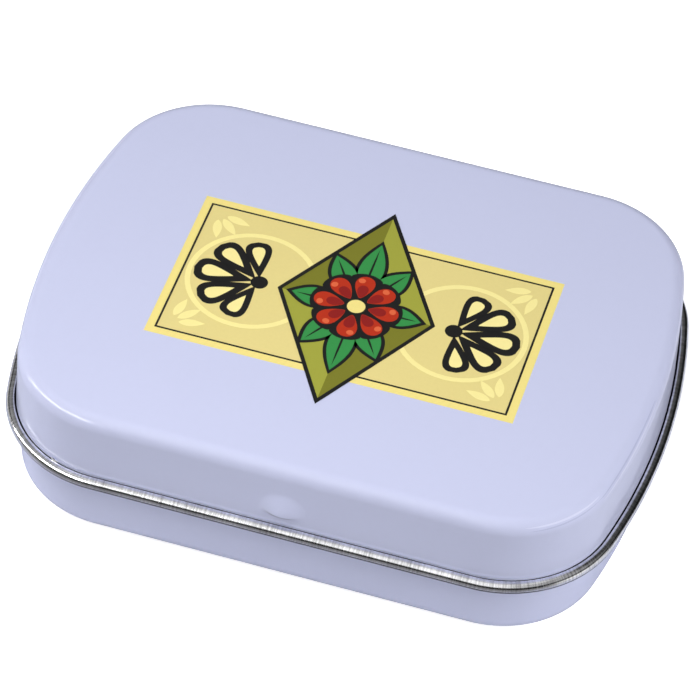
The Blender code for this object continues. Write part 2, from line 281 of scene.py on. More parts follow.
peel = node(enamel, "Bump", {"Height": grain, "Distance": given.outputs["Peel"], "Strength": 1.0})
enamel.links.new(dusted.outputs[2], out.inputs["Colour"])
enamel.links.new(dull, out.inputs["Roughness"])
enamel.links.new(peel.outputs[0], out.inputs["Normal"])

# Bare tinplate: bright tin drawn into fine streaks across the roll, read along the sheet's own map.
STREAK_SCALE, PATCH_SCALE = (5200.0, 420.0, 1.0), (260.0, 60.0, 1.0)
TIN_DULLNESS = {"From Min": 0.3, "From Max": 0.7, "To Min": 0.10, "To Max": 0.24}
tinplate, given, out = node_group(
    "tinplate",
    {"Tin": "Color", "Streaks": "Float", "Depth": "Float"},
    {"Colour": "Color", "Roughness": "Float", "Normal": "Vector"},
)
lie = node(tinplate, "UVMap", uv_map="UVMap").outputs[0]
drawn_out = node(tinplate, "Mapping", {"Vector": lie, "Scale": STREAK_SCALE}).outputs[0]
streak = node(tinplate, "TexNoise", {"Vector": drawn_out, "Scale": 1.0, "Detail": 3.0}).outputs["Fac"]
wide = node(tinplate, "Mapping", {"Vector": lie, "Scale": PATCH_SCALE}).outputs[0]
patch = node(tinplate, "TexNoise", {"Vector": wide, "Scale": 1.0, "Detail": 2.0}).outputs["Fac"]
both = node(tinplate, "Math", {0: streak, 1: patch}, operation="ADD").outputs[0]
swing = node(tinplate, "Math", {0: both, 1: 1.0}, operation="SUBTRACT").outputs[0]
level = node(tinplate, "Math", {0: swing, 1: given.outputs["Streaks"], 2: 1.0}, operation="MULTIPLY_ADD")
shaded = node(tinplate, "VectorMath", {0: given.outputs["Tin"], "Scale": level.outputs[0]}, operation="SCALE")
dull = node(tinplate, "MapRange", {"Value": streak, **TIN_DULLNESS})
ridges = node(tinplate, "Bump", {"Height": streak, "Distance": given.outputs["Depth"], "Strength": 1.0})
tinplate.links.new(shaded.outputs[0], out.inputs["Colour"])
tinplate.links.new(dull.outputs[0], out.inputs["Roughness"])
tinplate.links.new(ridges.outputs[0], out.inputs["Normal"])

LAVENDER = (0.588, 0.615, 0.825, 1.0)
TIN = (0.80, 0.80, 0.82, 1.0)
tray_paint = {"Paint": LAVENDER, "Shading": 0.02, "Peel": 0.6e-6, "Specks": 0.6}
tray_enamel = new_material("tray_enamel", enamel, tray_paint, Specular_IOR_Level=ENAMEL_SHINE)
bare_tin = new_material("bare_tin", tinplate, {"Tin": TIN, "Streaks": 0.25, "Depth": 3.0e-6}, Metallic=1.0)
ENAMEL_FACE, TIN_FACE = 0, 1

tongue_edges = [
    side * TONGUE_X + way * half
    for side in (-1, 1) for way in (-1, 1) for half in (HALF_TONGUE, HALF_NOTCH)
]
places, normals, around = plan_line(straight_places(tongue_edges), straight_places())
foot_inset = TRAY_INSET + TRAY_EDGE_RADIUS
inner_foot = arc(foot_inset, TRAY_EDGE_RADIUS, TRAY_EDGE_RADIUS - SHEET, -QUARTER_TURN, 0, FOOT_STEPS)
outer_foot = arc(foot_inset, TRAY_EDGE_RADIUS, TRAY_EDGE_RADIUS, 0, -QUARTER_TURN, FOOT_STEPS)
low_inner = np.vstack([
    np.column_stack([FLAT_RINGS, np.full(len(FLAT_RINGS), SHEET)]), inner_foot,
    [(TRAY_INSET + SHEET, NOTCH_BOTTOM)],
])
low_outer = np.vstack([
    [(TRAY_INSET, NOTCH_BOTTOM)], outer_foot,
    np.column_stack([FLAT_RINGS[::-1], np.zeros(len(FLAT_RINGS))]),
])
rim_inset = NECK_INSET + RIM_RADIUS
wall = np.vstack([
    low_inner[-1:], [(TRAY_INSET + SHEET, NECK_BOTTOM)], [(NECK_INSET + SHEET, NECK_TOP)],
    arc(rim_inset, RIM_Z, RIM_RADIUS - SHEET, 0, RIM_CURL, RIM_STEPS),
    arc(rim_inset, RIM_Z, RIM_RADIUS, RIM_CURL, 0, RIM_STEPS),
    [(NECK_INSET, NECK_TOP)], [(TRAY_INSET, NECK_BOTTOM)], low_outer[:1],
])
tongue_end = HALF_TURN - TONGUE_CURL
tongue = np.vstack([
    low_inner[-1:], arc(BEAD_RADIUS, BEAD_HEIGHT, TONGUE_OUTER, HALF_TURN, tongue_end, TONGUE_STEPS),
    arc(BEAD_RADIUS, BEAD_HEIGHT, TONGUE_INNER, tongue_end, HALF_TURN, TONGUE_STEPS), low_outer[:1],
])


def at_back(places, low, high):
    """True for each stretch of the plan on the straight back whose middle lies from x = low to x = high."""
    x = (places[:, 0] + np.roll(places[:, 0], -1)) / 2
    y = (places[:, 1] + np.roll(places[:, 1], -1)) / 2
    return (y > DEPTH / 2 - NEAR) & (x > low) & (x < high)


notch, under_tongue = (
    at_back(places, TONGUE_X - half, TONGUE_X + half) | at_back(places, -TONGUE_X - half, -TONGUE_X + half)
    for half in (HALF_NOTCH, HALF_TONGUE)
)
tray_sheet = new_sheet()
for section, spans, finish in (
    (low_inner, None, TIN_FACE), (low_outer, None, ENAMEL_FACE),
    (wall, ~notch, TIN_FACE), (tongue, under_tongue, TIN_FACE),
):
    grid = carried(places, normals, section)
    rows = len(section) - 1
    keep = np.ones((len(places), rows), bool) if spans is None else np.repeat(spans[:, None], rows, axis=1)
    add_grid(tray_sheet, grid, around, section_way(section), keep, np.full(rows, finish))
gap_section = np.vstack([low_inner[-1:], low_outer[:1]])
gap_grid = carried(places, normals, gap_section)
add_grid(tray_sheet, gap_grid, around, section_way(gap_section), (notch & ~under_tongue)[:, None], [TIN_FACE])


def stretch_ends(spans):
    """(first column, last column) of each run of stretches."""
    starts = np.nonzero(spans & ~np.roll(spans, 1))[0]
    ends = np.nonzero(spans & ~np.roll(spans, -1))[0] + 1
    return list(zip(starts, ends))


tongue_grid, wall_grid = carried(places, normals, tongue), carried(places, normals, wall)
for first, last in stretch_ends(under_tongue):
    add_polygon(tray_sheet, tongue_grid[first][::-1], TIN_FACE)
    add_polygon(tray_sheet, tongue_grid[last], TIN_FACE)
for first, last in stretch_ends(notch):
    add_polygon(tray_sheet, wall_grid[first], TIN_FACE)
    add_polygon(tray_sheet, wall_grid[last][::-1], TIN_FACE)
add_polygon(tray_sheet, carried(places, normals, low_inner[:1])[:, 0], TIN_FACE)
add_polygon(tray_sheet, carried(places, normals, low_outer[-1:])[::-1, 0], ENAMEL_FACE)
tray = sheet_object("tray_shell", tray_sheet, [tray_enamel, bare_tin])
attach(tray, "tray")
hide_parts("base")

# The lid: a second drawn sheet, enamelled outside. Its lower edge is rolled outward, so the bead shows
# the sheet's bare inner face. A thumb bump is pressed into the front, and two slots in the back let
# the tray's tongues out above the bead.
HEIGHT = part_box("lid")[1].z
SHOULDER_RADIUS = 1.3 * MM
BEAD_CURL = np.radians(292)
WALL_OUTER = 2 * BEAD_RADIUS - SHEET
LID_DRAFT = 0.14 * MM
HALF_SLOT = HALF_TONGUE + 0.4 * MM
SLOT_GAP = 0.12 * MM
SLOT_BOTTOM = BEAD_HEIGHT + np.sqrt(TONGUE_INNER**2 - BEAD_RADIUS**2) - SLOT_GAP
SLOT_TOP = BEAD_HEIGHT + np.sqrt(TONGUE_OUTER**2 - (BEAD_RADIUS - SHEET) ** 2) + SLOT_GAP
BUMP_WIDTH, BUMP_TALL, BUMP_OUT = 4.6 * MM, 3.2 * MM, 0.68 * MM
BUMP_HEIGHT, BUMP_PEAK, BUMP_EASE = 10.0 * MM, -0.3, 2.0
BUMP_COLUMNS, BUMP_ROWS, BEAD_STEPS = 37, 29, 44
OUTER_SHOULDER_STEPS, INNER_SHOULDER_STEPS = 16, 12
SHADE_STRIP_TOP = BEAD_HEIGHT + 0.445 * MM
UNDERSIDE_SHADE_START, UNDERSIDE_SHADE_END = 17, 25
HIGH_ROW, TOP_FLAT_START = 0.9 * HEIGHT, 0.05 * MM


def thumb_bump(x, y, z):
    """How far the front is pressed out: an oval dome of height (1 - across² - up²)^BUMP_EASE.

    Its peak lies low, at BUMP_PEAK of its half height, so that its lower edge ends in a lip.
    """
    across = x / (BUMP_WIDTH / 2)
    up = (z - BUMP_HEIGHT) / (BUMP_TALL / 2) - BUMP_PEAK
    up = up / np.where(up > 0, 1 - BUMP_PEAK, 1 + BUMP_PEAK)
    inside = np.clip(1 - across**2 - up**2, 0, None)
    return np.where(y < 0, BUMP_OUT * inside**BUMP_EASE, 0.0)


def lid_wall(z, face):
    """Section points down the lid's wall, which leans in by LID_DRAFT from the bead to the shoulder."""
    share = (z - BEAD_HEIGHT) / (HEIGHT - SHOULDER_RADIUS - BEAD_HEIGHT)
    return np.column_stack([face + LID_DRAFT * share, z])


# The bead's tin is drawn into stronger streaks. A dark tin is painted shade: on the wall's lowest strip above
# the bead and in the bead's curl it stands for the shadow in the groove, and on the bead's underside for a
# dark reflection.
# The lid's paint takes the painted bounce light above the bead.
lid_paint = {"Paint": LAVENDER, "Shading": 0.02, "Peel": 0.6e-6, "Specks": 0.8, "Painted bounce": 0.44}
lid_enamel = new_material("lid_enamel", enamel, lid_paint, Specular_IOR_Level=ENAMEL_SHINE)
bead_tin = new_material("bead_tin", tinplate, {"Tin": TIN, "Streaks": 1.1, "Depth": 4.5e-6}, Metallic=1.0)
painted_shade_values = {"Tin": (0.06, 0.06, 0.07, 1.0), "Streaks": 0.4, "Depth": 0.0}
painted_shade_tin = new_material("painted_shade_tin", tinplate, painted_shade_values, Metallic=1.0)
SHADE_FACE, BEAD_FACE = 2, 3
slot_edges = [side * TONGUE_X + way * HALF_SLOT for side in (-1, 1) for way in (-1, 1)]
bump_columns = np.linspace(-BUMP_WIDTH / 2, BUMP_WIDTH / 2, BUMP_COLUMNS)
lid_places, lid_normals, lid_around = plan_line(straight_places(slot_edges), straight_places(bump_columns))
bump_rows = BUMP_HEIGHT + np.linspace(-BUMP_TALL / 2, BUMP_TALL / 2, BUMP_ROWS)
heights = np.unique(np.concatenate([bump_rows, [SLOT_TOP, SLOT_BOTTOM, SHADE_STRIP_TOP, HIGH_ROW]]))[::-1]
heights = heights[heights < HEIGHT - SHOULDER_RADIUS]
shoulder_inset, shoulder_z = WALL_OUTER + LID_DRAFT + SHOULDER_RADIUS, HEIGHT - SHOULDER_RADIUS
bead_end = HALF_TURN + BEAD_CURL
top_rings = np.append(FLAT_RINGS, shoulder_inset + TOP_FLAT_START)
lid_outer = np.vstack([
    np.column_stack([top_rings, np.full(len(top_rings), HEIGHT)]),
    arc(shoulder_inset, shoulder_z, SHOULDER_RADIUS, QUARTER_TURN, 0, OUTER_SHOULDER_STEPS),
    lid_wall(heights, WALL_OUTER),
])
lid_bead = np.vstack([
    arc(BEAD_RADIUS, BEAD_HEIGHT, BEAD_RADIUS - SHEET, HALF_TURN, bead_end, BEAD_STEPS),
    arc(BEAD_RADIUS, BEAD_HEIGHT, BEAD_RADIUS, bead_end, HALF_TURN, BEAD_STEPS),
])
lid_inner = np.vstack([
    lid_wall(heights[::-1], WALL_OUTER + SHEET),
    arc(shoulder_inset, shoulder_z, SHOULDER_RADIUS - SHEET, 0, QUARTER_TURN, INNER_SHOULDER_STEPS),
    np.column_stack([top_rings[::-1], np.full(len(top_rings), HEIGHT - SHEET)]),
])
section = np.vstack([lid_outer, lid_bead, lid_inner])
row_finish = np.full(len(section) - 1, TIN_FACE)
row_finish[: len(lid_outer)] = ENAMEL_FACE
bead_face = len(lid_outer) + BEAD_STEPS + 2
row_finish[bead_face : len(lid_outer) + len(lid_bead)] = BEAD_FACE
# Painted shade: the bead's underside, its curl and the wall's lowest strip get the dark tin.
row_finish[bead_face + UNDERSIDE_SHADE_START : bead_face + UNDERSIDE_SHADE_END] = SHADE_FACE
row_finish[len(lid_outer) - np.sum(heights <= SHADE_STRIP_TOP + ROUNDING) : bead_face] = SHADE_FACE
row_middle = (section[1:, 1] + section[:-1, 1]) / 2
row = np.arange(len(row_middle))
in_wall = (row < len(lid_outer) - 1) | (row > len(lid_outer) + len(lid_bead) - 1)
slot_row = in_wall & (row_middle > SLOT_BOTTOM) & (row_middle < SLOT_TOP)
slot_column = (
    at_back(lid_places, TONGUE_X - HALF_SLOT, TONGUE_X + HALF_SLOT)
    | at_back(lid_places, -TONGUE_X - HALF_SLOT, -TONGUE_X + HALF_SLOT)
)
lid_sheet = new_sheet()
grid = carried(lid_places, lid_normals, section, thumb_bump)
in_slot = slot_column[:, None] & slot_row[None]
add_grid(lid_sheet, grid, lid_around, section_way(section), ~in_slot, row_finish)
slot_heights = np.array([SLOT_TOP, SLOT_BOTTOM])
slot_outer, slot_inner = (lid_wall(slot_heights, face) for face in (WALL_OUTER, WALL_OUTER + SHEET))
rows_in_slot = heights[(heights <= SLOT_TOP + ROUNDING) & (heights >= SLOT_BOTTOM - ROUNDING)]
slot_ring = np.vstack([lid_wall(rows_in_slot, WALL_OUTER), lid_wall(rows_in_slot[::-1], WALL_OUTER + SHEET)])
for edge in (np.vstack([slot_inner[:1], slot_outer[:1]]), np.vstack([slot_outer[1:], slot_inner[1:]])):
    edge_grid = carried(lid_places, lid_normals, edge[::-1])
    add_grid(lid_sheet, edge_grid, lid_around, section_way(edge), slot_column[:, None], [TIN_FACE])
ring_grid = carried(lid_places, lid_normals, slot_ring)
for first, last in stretch_ends(slot_column):
    add_polygon(lid_sheet, ring_grid[first][::-1], TIN_FACE)
    add_polygon(lid_sheet, ring_grid[last], TIN_FACE)
add_polygon(lid_sheet, grid[:, 0], ENAMEL_FACE)
add_polygon(lid_sheet, grid[::-1, -1], TIN_FACE)
lid = sheet_object("lid_shell", lid_sheet, [lid_enamel, bare_tin, painted_shade_tin, bead_tin])
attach(lid, "cover")
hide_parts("lid")

# A nick in the enamel just above the bead at the left-front corner: a bright scrap of bare metal with
# a dark scratch beside it, lying on the wall.
bright_tin = {"Tin": (0.95, 0.95, 0.97, 1.0), "Streaks": 0.2, "Depth": 0.0}
scrap_tin = new_material("scrap_tin", tinplate, bright_tin, Metallic=0.3)
dark_paint = {"Paint": (0.10, 0.10, 0.16, 1.0), "Shading": 0.1, "Peel": 0.0, "Specks": 0.0}
scratch_dark = new_material("scratch_dark", enamel, dark_paint)
NICK_ANGLE, NICK_HEIGHT = np.radians(249), BEAD_HEIGHT + 0.68 * MM
NICK_INSET, NICK_LIFT = 0.80 * MM, 0.02 * MM


def on_corner(flat, lift):
    """Places (along the wall, up) on the left-front corner's wall, counted from the nick, raised by lift."""
    across, up = np.asarray(flat).T
    radius = CORNER_RADIUS - NICK_INSET + lift
    angle = NICK_ANGLE + across / radius
    x, y = radius * np.cos(angle) - CORNER_X, radius * np.sin(angle) - CORNER_Y
    return np.column_stack([x, y, NICK_HEIGHT + up])


def plain_object(name, places, faces, finish):
    """A new object of these places and faces in one finish."""
    mesh = bpy.data.meshes.new(name)
    mesh.from_pydata(places, [], faces)
    mesh.materials.append(finish)
    made = bpy.data.objects.new(name, mesh)
    bpy.context.scene.collection.objects.link(made)
    return made


def plate_faces(size):
    """The faces of a flat plate whose outline has size corners: bottom, top and the sides between."""
    j = np.arange(size)
    k = (j + 1) % size
    return [j[::-1].tolist(), (size + j).tolist()] + np.column_stack([j, k, size + k, size + j]).tolist()


def scrap(name, flat, finish):
    """A thin closed chip on the corner's wall with this outline."""
    places = np.vstack([on_corner(flat, 0.0), on_corner(flat, NICK_LIFT)])
    made = plain_object(name, places, plate_faces(len(flat)), finish)
    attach(made, "cover")


scrap_outline = np.array([
    (-0.45, 0.10), (-0.22, -0.12), (0.02, -0.16), (0.30, 0.02), (0.42, 0.16), (0.12, 0.04),
    (-0.10, 0.02), (-0.32, 0.18),
])
scratch_outline = np.array([(-0.26, 0.10), (-0.12, 0.04), (0.06, 0.07), (0.02, 0.16), (-0.16, 0.18)])
scrap("nick_scrap", scrap_outline * MM, scrap_tin)
scrap("nick_scratch", scratch_outline * MM, scratch_dark)

# A crease in the shoulder of the lid's right-front corner, which runs on along the right end, drawn in paint:
# a fine strip of paler lavender is a painted highlight on it, and a darker strip beside it is painted shade.
# Both fade out at their ends.
crease_painted_highlight = new_material("crease_painted_highlight", enamel, {"Paint": (0.70, 0.72, 0.92, 1.0), "Shading": 0.02})
crease_painted_shade = new_material("crease_painted_shade", enamel, {"Paint": (0.50, 0.53, 0.74, 1.0), "Shading": 0.02})
CREASE_LIFT, CREASE_SINK, CREASE_TAPER = 0.006 * MM, 0.01 * MM, 0.6
corner_columns = (lid_normals[:, 0] > NEAR) & (lid_normals[:, 1] < 0)
corner_start = lid_around[:-1][corner_columns].min()


def crease(name, start, end, angles, half_width, finish):
    """A thin closed strip on the shoulder, drawn to a point at both ends, as one piece on the lid.

    start and end are its ends along the plan, counted from where the right-front corner begins, and
    angles are the shoulder's angles there. It swells as sin(pi share)^CREASE_TAPER on the way.
    """
    way = lid_around[:-1] - corner_start
    along = np.nonzero((way > start) & (way < end))[0]
    share = (way[along] - start) / (end - start)
    swell = np.sin(np.pi * share) ** CREASE_TAPER
    rows = []
    for lift in (-CREASE_SINK, CREASE_LIFT):
        for side in (1, -1):
            angle = np.radians(angles[0] + (angles[1] - angles[0]) * share + side * half_width * swell)
            inset = shoulder_inset - (SHOULDER_RADIUS + lift) * np.cos(angle)
            z = shoulder_z + (SHOULDER_RADIUS + lift) * np.sin(angle)
            rows.append(np.column_stack([lid_places[along] - lid_normals[along] * inset[:, None], z]))
    count = len(along)
    ring = (0, count, 3 * count, 2 * count)
    faces = [ring[::-1], tuple(first + count - 1 for first in ring)]
    for j in range(count - 1):
        faces += [(a + j, b + j, b + j + 1, a + j + 1) for a, b in zip(ring, ring[1:] + ring[:1])]
    made = plain_object(name, np.vstack(rows), faces, finish)
    made.data.shade_smooth()
    made.data.set_sharp_from_angle(angle=SHARP_EDGE)
    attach(made, "cover")


crease("corner_painted_highlight", 4.0 * MM, 13.5 * MM, (39, 48), 4.0, crease_painted_highlight)
crease("corner_painted_shade", 4.5 * MM, 13.0 * MM, (24, 34), 3.0, crease_painted_shade)
crease("end_painted_highlight", 13.5 * MM, 27.4 * MM, (17, 34), 3.5, crease_painted_highlight)
crease("end_painted_shade", 12.5 * MM, 27.4 * MM, (33, 45), 3.5, crease_painted_shade)

# The label: inks printed on the lid's flat top, each field a few microns thick.
# A yellow ground with a black keyline, a sand-coloured field with two pale rings and corner sprays,
# and in the middle an olive lozenge with a red rosette and green leaves, between two black leaf fans.
INK_STEP = 0.004 * MM
INK = 0.003 * MM
LABEL_MIDDLE = np.array([0.1, -0.5]) * MM
LABEL_LENGTH, LABEL_DEPTH = 34.3 * MM, 18.4 * MM
MARGIN, LINE, KEYLINE_REACH = 0.95 * MM, 0.11 * MM, 3.6
FIELD_LENGTH, FIELD_DEPTH = LABEL_LENGTH - 2 * MARGIN, LABEL_DEPTH - 2 * MARGIN
LOZENGE_WIDTH, LOZENGE_DEPTH, LOZENGE_EDGE = 14.0 * MM, 24.0 * MM, 0.38 * MM
ROSETTE_RADIUS, ROSETTE_EDGE, PETALS = 4.0 * MM, 0.30 * MM, 8

INK_GRAIN_SCALE, INK_SHADING, INK_PEEL, INK_SHINE = 3200.0, 0.05, 0.3e-6, 0.4
INK_DULLNESS = {"To Min": 0.32, "To Max": 0.42}
printing, given, out = node_group(
    "printing",
    {"Ink": "Color", "Grain": "Float"},
    {"Colour": "Color", "Roughness": "Float", "Normal": "Vector"},
)
place = node(printing, "TexCoord").outputs["Object"]
grain = node(printing, "TexNoise", {"Vector": place, "Scale": INK_GRAIN_SCALE, "Detail": 2.0}).outputs["Fac"]
swing = node(printing, "Math", {0: grain, 1: 0.5}, operation="SUBTRACT").outputs[0]
level = node(printing, "Math", {0: swing, 1: given.outputs["Grain"], 2: 1.0}, operation="MULTIPLY_ADD")
shaded = node(printing, "VectorMath", {0: given.outputs["Ink"], "Scale": level.outputs[0]}, operation="SCALE")
dull = node(printing, "MapRange", {"Value": grain, **INK_DULLNESS}).outputs[0]
film = node(printing, "Bump", {"Height": grain, "Distance": INK_PEEL, "Strength": 1.0})
printing.links.new(shaded.outputs[0], out.inputs["Colour"])
printing.links.new(dull, out.inputs["Roughness"])
printing.links.new(film.outputs[0], out.inputs["Normal"])


def ink(name, colour):
    values = {"Ink": (*colour, 1.0), "Grain": INK_SHADING}
    return new_material(name, printing, values, Specular_IOR_Level=INK_SHINE)


yellow_ink = ink("yellow_ink", (0.90, 0.76, 0.26))
sand_ink = ink("sand_ink", (0.79, 0.67, 0.27))
pale_ink = ink("pale_ink", (0.95, 0.84, 0.35))
black_ink = ink("black_ink", (0.012, 0.012, 0.012))
olive_ink = ink("olive_ink", (0.36, 0.37, 0.055))
deep_olive_ink = ink("deep_olive_ink", (0.20, 0.20, 0.025))
green_ink = ink("green_ink", (0.04, 0.28, 0.07))
red_ink = ink("red_ink", (0.48, 0.035, 0.013))
deep_red_ink = ink("deep_red_ink", (0.27, 0.016, 0.014))
bright_red_ink = ink("bright_red_ink", (0.74, 0.14, 0.055))


def printed(name, shapes, level, finish, replaced=()):
    """Flat closed plates round these outlines, lying level steps above the lid, as one piece on the lid."""
    low = HEIGHT + (level + 1) * INK_STEP - INK
    places, faces, count = [], [], 0
    for shape in shapes:
        outline = np.asarray(shape) + LABEL_MIDDLE
        size = len(outline)
        for z in (low, low + INK):
            places.append(np.column_stack([outline, np.full(size, z)]))
        faces += [[count + corner for corner in face] for face in plate_faces(size)]
        count += 2 * size
    made = plain_object(name, np.vstack(places), faces, finish)
    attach(made, "cover")
    if replaced:
        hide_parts(*replaced)


def rectangle(length, depth):
    return np.array([(-1, -1), (1, -1), (1, 1), (-1, 1)]) * (length / 2, depth / 2)


def lozenge(grow):
    """A diamond whose four sides stand off by grow."""
    slant = np.hypot(LOZENGE_WIDTH, LOZENGE_DEPTH)
    x = LOZENGE_WIDTH / 2 + grow * slant / LOZENGE_DEPTH
    y = LOZENGE_DEPTH / 2 + grow * slant / LOZENGE_WIDTH
    return np.array([(x, 0.0), (0.0, y), (-x, 0.0), (0.0, -y)])


def turned(shape, angle, middle=(0.0, 0.0)):
    """The shape turned about the origin and then moved to middle."""
    cos, sin = np.cos(angle), np.sin(angle)
    return np.asarray(shape) @ np.array([(cos, sin), (-sin, cos)]) + middle


def leaf(start, end, half_width, belly=0.8, steps=18):
    """A pointed leaf along +X: its half-width grows as share^belly and falls as (1 - share)^1.1."""
    share = np.linspace(0, 1, steps + 1)
    half = share**belly * (1 - share) ** 1.1
    half = half_width * half / half.max()
    x = start + (end - start) * share
    upper = np.column_stack([x, half])
    return np.vstack([upper[:-1] * (1, -1), upper[:0:-1]])


def petal(middle, reach, half_angle, steps=28):
    """A petal along +X: an oval in polar form, radius middle + reach cos t at angle half_angle sin t."""
    t = np.linspace(0, 2 * np.pi, steps, endpoint=False)
    radius, angle = middle + reach * np.cos(t), half_angle * np.sin(t)
    return np.column_stack([radius * np.cos(angle), radius * np.sin(angle)])


def polar(radius_at, steps):
    """An outline round the origin whose radius at angle t is radius_at(t)."""
    t = np.linspace(0, 2 * np.pi, steps, endpoint=False)
    return radius_at(t)[:, None] * np.column_stack([np.cos(t), np.sin(t)])


def disc(radius, steps=48):
    return polar(lambda t: np.full(len(t), radius), steps)


printed("label_ground", [rectangle(LABEL_LENGTH, LABEL_DEPTH)], 0, yellow_ink, ["print_ground"])
keyline = rectangle(FIELD_LENGTH + KEYLINE_REACH * LINE, FIELD_DEPTH + KEYLINE_REACH * LINE)
printed("label_keyline", [keyline], 1, black_ink, ["print_keyline"])
printed("label_field", [rectangle(FIELD_LENGTH, FIELD_DEPTH)], 2, sand_ink, ["print_field"])

RING_X, RING_RADIUS, RING_WIDTH = 9.9 * MM, 6.1 * MM, 0.5 * MM
CORNER_SPRAY = np.array([15.4, 7.4]) * MM
SPRAY_LEAF = (0.9 * MM, 3.3 * MM, 0.42 * MM)
spray_angles = QUARTER_TURN / 2 + np.radians([-32, 0, 32])
ring_discs = [turned(disc(RING_RADIUS), 0, (side * RING_X, 0)) for side in (-1, 1)]
corner_leaves = [
    turned(leaf(*SPRAY_LEAF), HALF_TURN + angle, CORNER_SPRAY)[::across * up] * (across, up)
    for across in (-1, 1) for up in (-1, 1) for angle in spray_angles
]
printed("label_rings", ring_discs + corner_leaves, 3, pale_ink)
hollows = [turned(disc(RING_RADIUS - RING_WIDTH), 0, (side * RING_X, 0)) for side in (-1, 1)]
printed("label_ring_hollows", hollows, 4, sand_ink)

printed("label_lozenge_edge", [lozenge(LOZENGE_EDGE)], 5, black_ink, ["print_lozenge_edge"])
FAN_X = LOZENGE_WIDTH / 2 + LOZENGE_EDGE + 1.8 * MM
FAN_REACH, FAN_CORE, FAN_EYE, FAN_STEP = 6.2 * MM, 0.9 * MM, 0.8 * MM, np.radians(36)
LOBE_WIDTH, VEIN_WIDTH, VEIN_START, VEIN_END = 0.235, 0.115, 0.40, 0.88
FAN_EVEN, FAN_SWELL, LOBE_START = 0.72, 0.28, 0.7 * FAN_CORE
fan_angles = FAN_STEP * np.arange(-2, 3)


def fan_lobe(start, end, half_width, steps=26):
    """A drop along +X, its round end outward: its half-width goes as share^0.9 (1 - share^5)^0.5."""
    share = np.linspace(0, 1, steps + 1)
    half = share**0.9 * np.sqrt(np.clip(1 - share**5, 0, None))
    half = half_width * half / half.max()
    x = start + (end - start) * share
    upper = np.column_stack([x, half])
    return np.vstack([upper[:-1] * (1, -1), upper[:0:-1]])


for side, word in ((-1, "left"), (1, "right")):
    leaves, veins = [], []
    for angle in fan_angles:
        reach = FAN_CORE + (FAN_REACH - FAN_CORE) * (FAN_EVEN + FAN_SWELL * np.cos(angle))
        blade = turned(fan_lobe(LOBE_START, reach, LOBE_WIDTH * reach), angle, (FAN_X, 0))
        vein = fan_lobe(VEIN_START * reach, VEIN_END * reach, VEIN_WIDTH * reach)
        leaves.append(blade[::side] * (side, 1))
        veins.append(turned(vein, angle, (FAN_X, 0))[::side] * (side, 1))
    leaves.append(turned(disc(FAN_EYE), 0, (side * FAN_X, 0)))
    printed("label_fan_" + word, leaves, 5, black_ink, ["print_fan_" + word])
    printed("label_fan_veins_" + word, veins, 6, pale_ink)

right, top, left, bottom = lozenge(0.0)
middle = np.zeros(2)
light_halves = [[middle, right, top], [middle, left, bottom]]
deep_halves = [[middle, top, left], [middle, bottom, right]]
printed("label_lozenge_light", light_halves, 6, olive_ink, ["print_lozenge"])
printed("label_lozenge_deep", deep_halves, 6, deep_olive_ink)

LEAF_EDGE, LONG_LEAF, SIDE_LEAF, SHORT_LEAF = 0.22 * MM, 8.4 * MM, 6.7 * MM, 6.1 * MM
SIDE_TURN, LEAF_START, LEAF_HALF, TIP_EDGE = 0.55, 2.2 * MM, 1.15 * MM, 2.4 * LEAF_EDGE
EDGE_START, EDGE_HALF = 2.0 * MM, 1.25 * MM + LEAF_EDGE
MIDRIB_START, MIDRIB_REACH, MIDRIB_HALF = 3.0 * MM, 0.93, 0.10 * MM
upright = [
    (QUARTER_TURN + turn, reach)
    for turn, reach in ((0, LONG_LEAF), (SIDE_TURN, SIDE_LEAF), (-SIDE_TURN, SIDE_LEAF))
]
wreath = upright + [(angle + HALF_TURN, reach) for angle, reach in upright]
wreath += [(0, SHORT_LEAF), (HALF_TURN, SHORT_LEAF)]
dark_leaves = [turned(leaf(EDGE_START, reach + TIP_EDGE, EDGE_HALF), angle) for angle, reach in wreath]
green_leaves = [turned(leaf(LEAF_START, reach, LEAF_HALF), angle) for angle, reach in wreath]
midribs = [turned(leaf(MIDRIB_START, MIDRIB_REACH * reach, MIDRIB_HALF), angle) for angle, reach in wreath]
printed("label_leaf_edges", dark_leaves, 7, black_ink)
printed("label_leaves", green_leaves, 8, green_ink, ["print_leaves"])
printed("label_midribs", midribs, 9, black_ink)


def rosette_edge(t):
    """The black ground behind the petals: its radius dips between one petal and the next."""
    return (ROSETTE_RADIUS + ROSETTE_EDGE) * (0.9 + 0.1 * np.sqrt(np.abs(np.cos(PETALS * t / 2))))


petal_angles = 2 * np.pi * np.arange(PETALS) / PETALS
RED_PETAL, DEEP_PETAL = (2.55 * MM, 1.42 * MM, 0.325), (2.0 * MM, 0.8 * MM, 0.24)
LIT_PETAL = (3.35 * MM, 0.3 * MM, 0.10)
LIT_TURN, ROSETTE_STEPS, HEART_RADIUS, HEART_EDGE = 0.12, 256, 0.84 * MM, 0.28 * MM
red_petals = [turned(petal(*RED_PETAL), angle) for angle in petal_angles]
deep_petals = [turned(petal(*DEEP_PETAL), angle) for angle in petal_angles]
lit_petals = [turned(petal(*LIT_PETAL), angle + LIT_TURN) for angle in petal_angles]
rosette_ground = [polar(rosette_edge, ROSETTE_STEPS)]
printed("label_rosette_edge", rosette_ground, 10, black_ink, ["print_rosette_edge"])
printed("label_petals", red_petals, 11, red_ink, ["print_rosette"])
printed("label_petal_shade", deep_petals, 12, deep_red_ink)
printed("label_petal_light", lit_petals, 12, bright_red_ink)
printed("label_heart_edge", [disc(HEART_RADIUS + HEART_EDGE)], 13, black_ink)
printed("label_heart", [disc(HEART_RADIUS)], 14, yellow_ink)

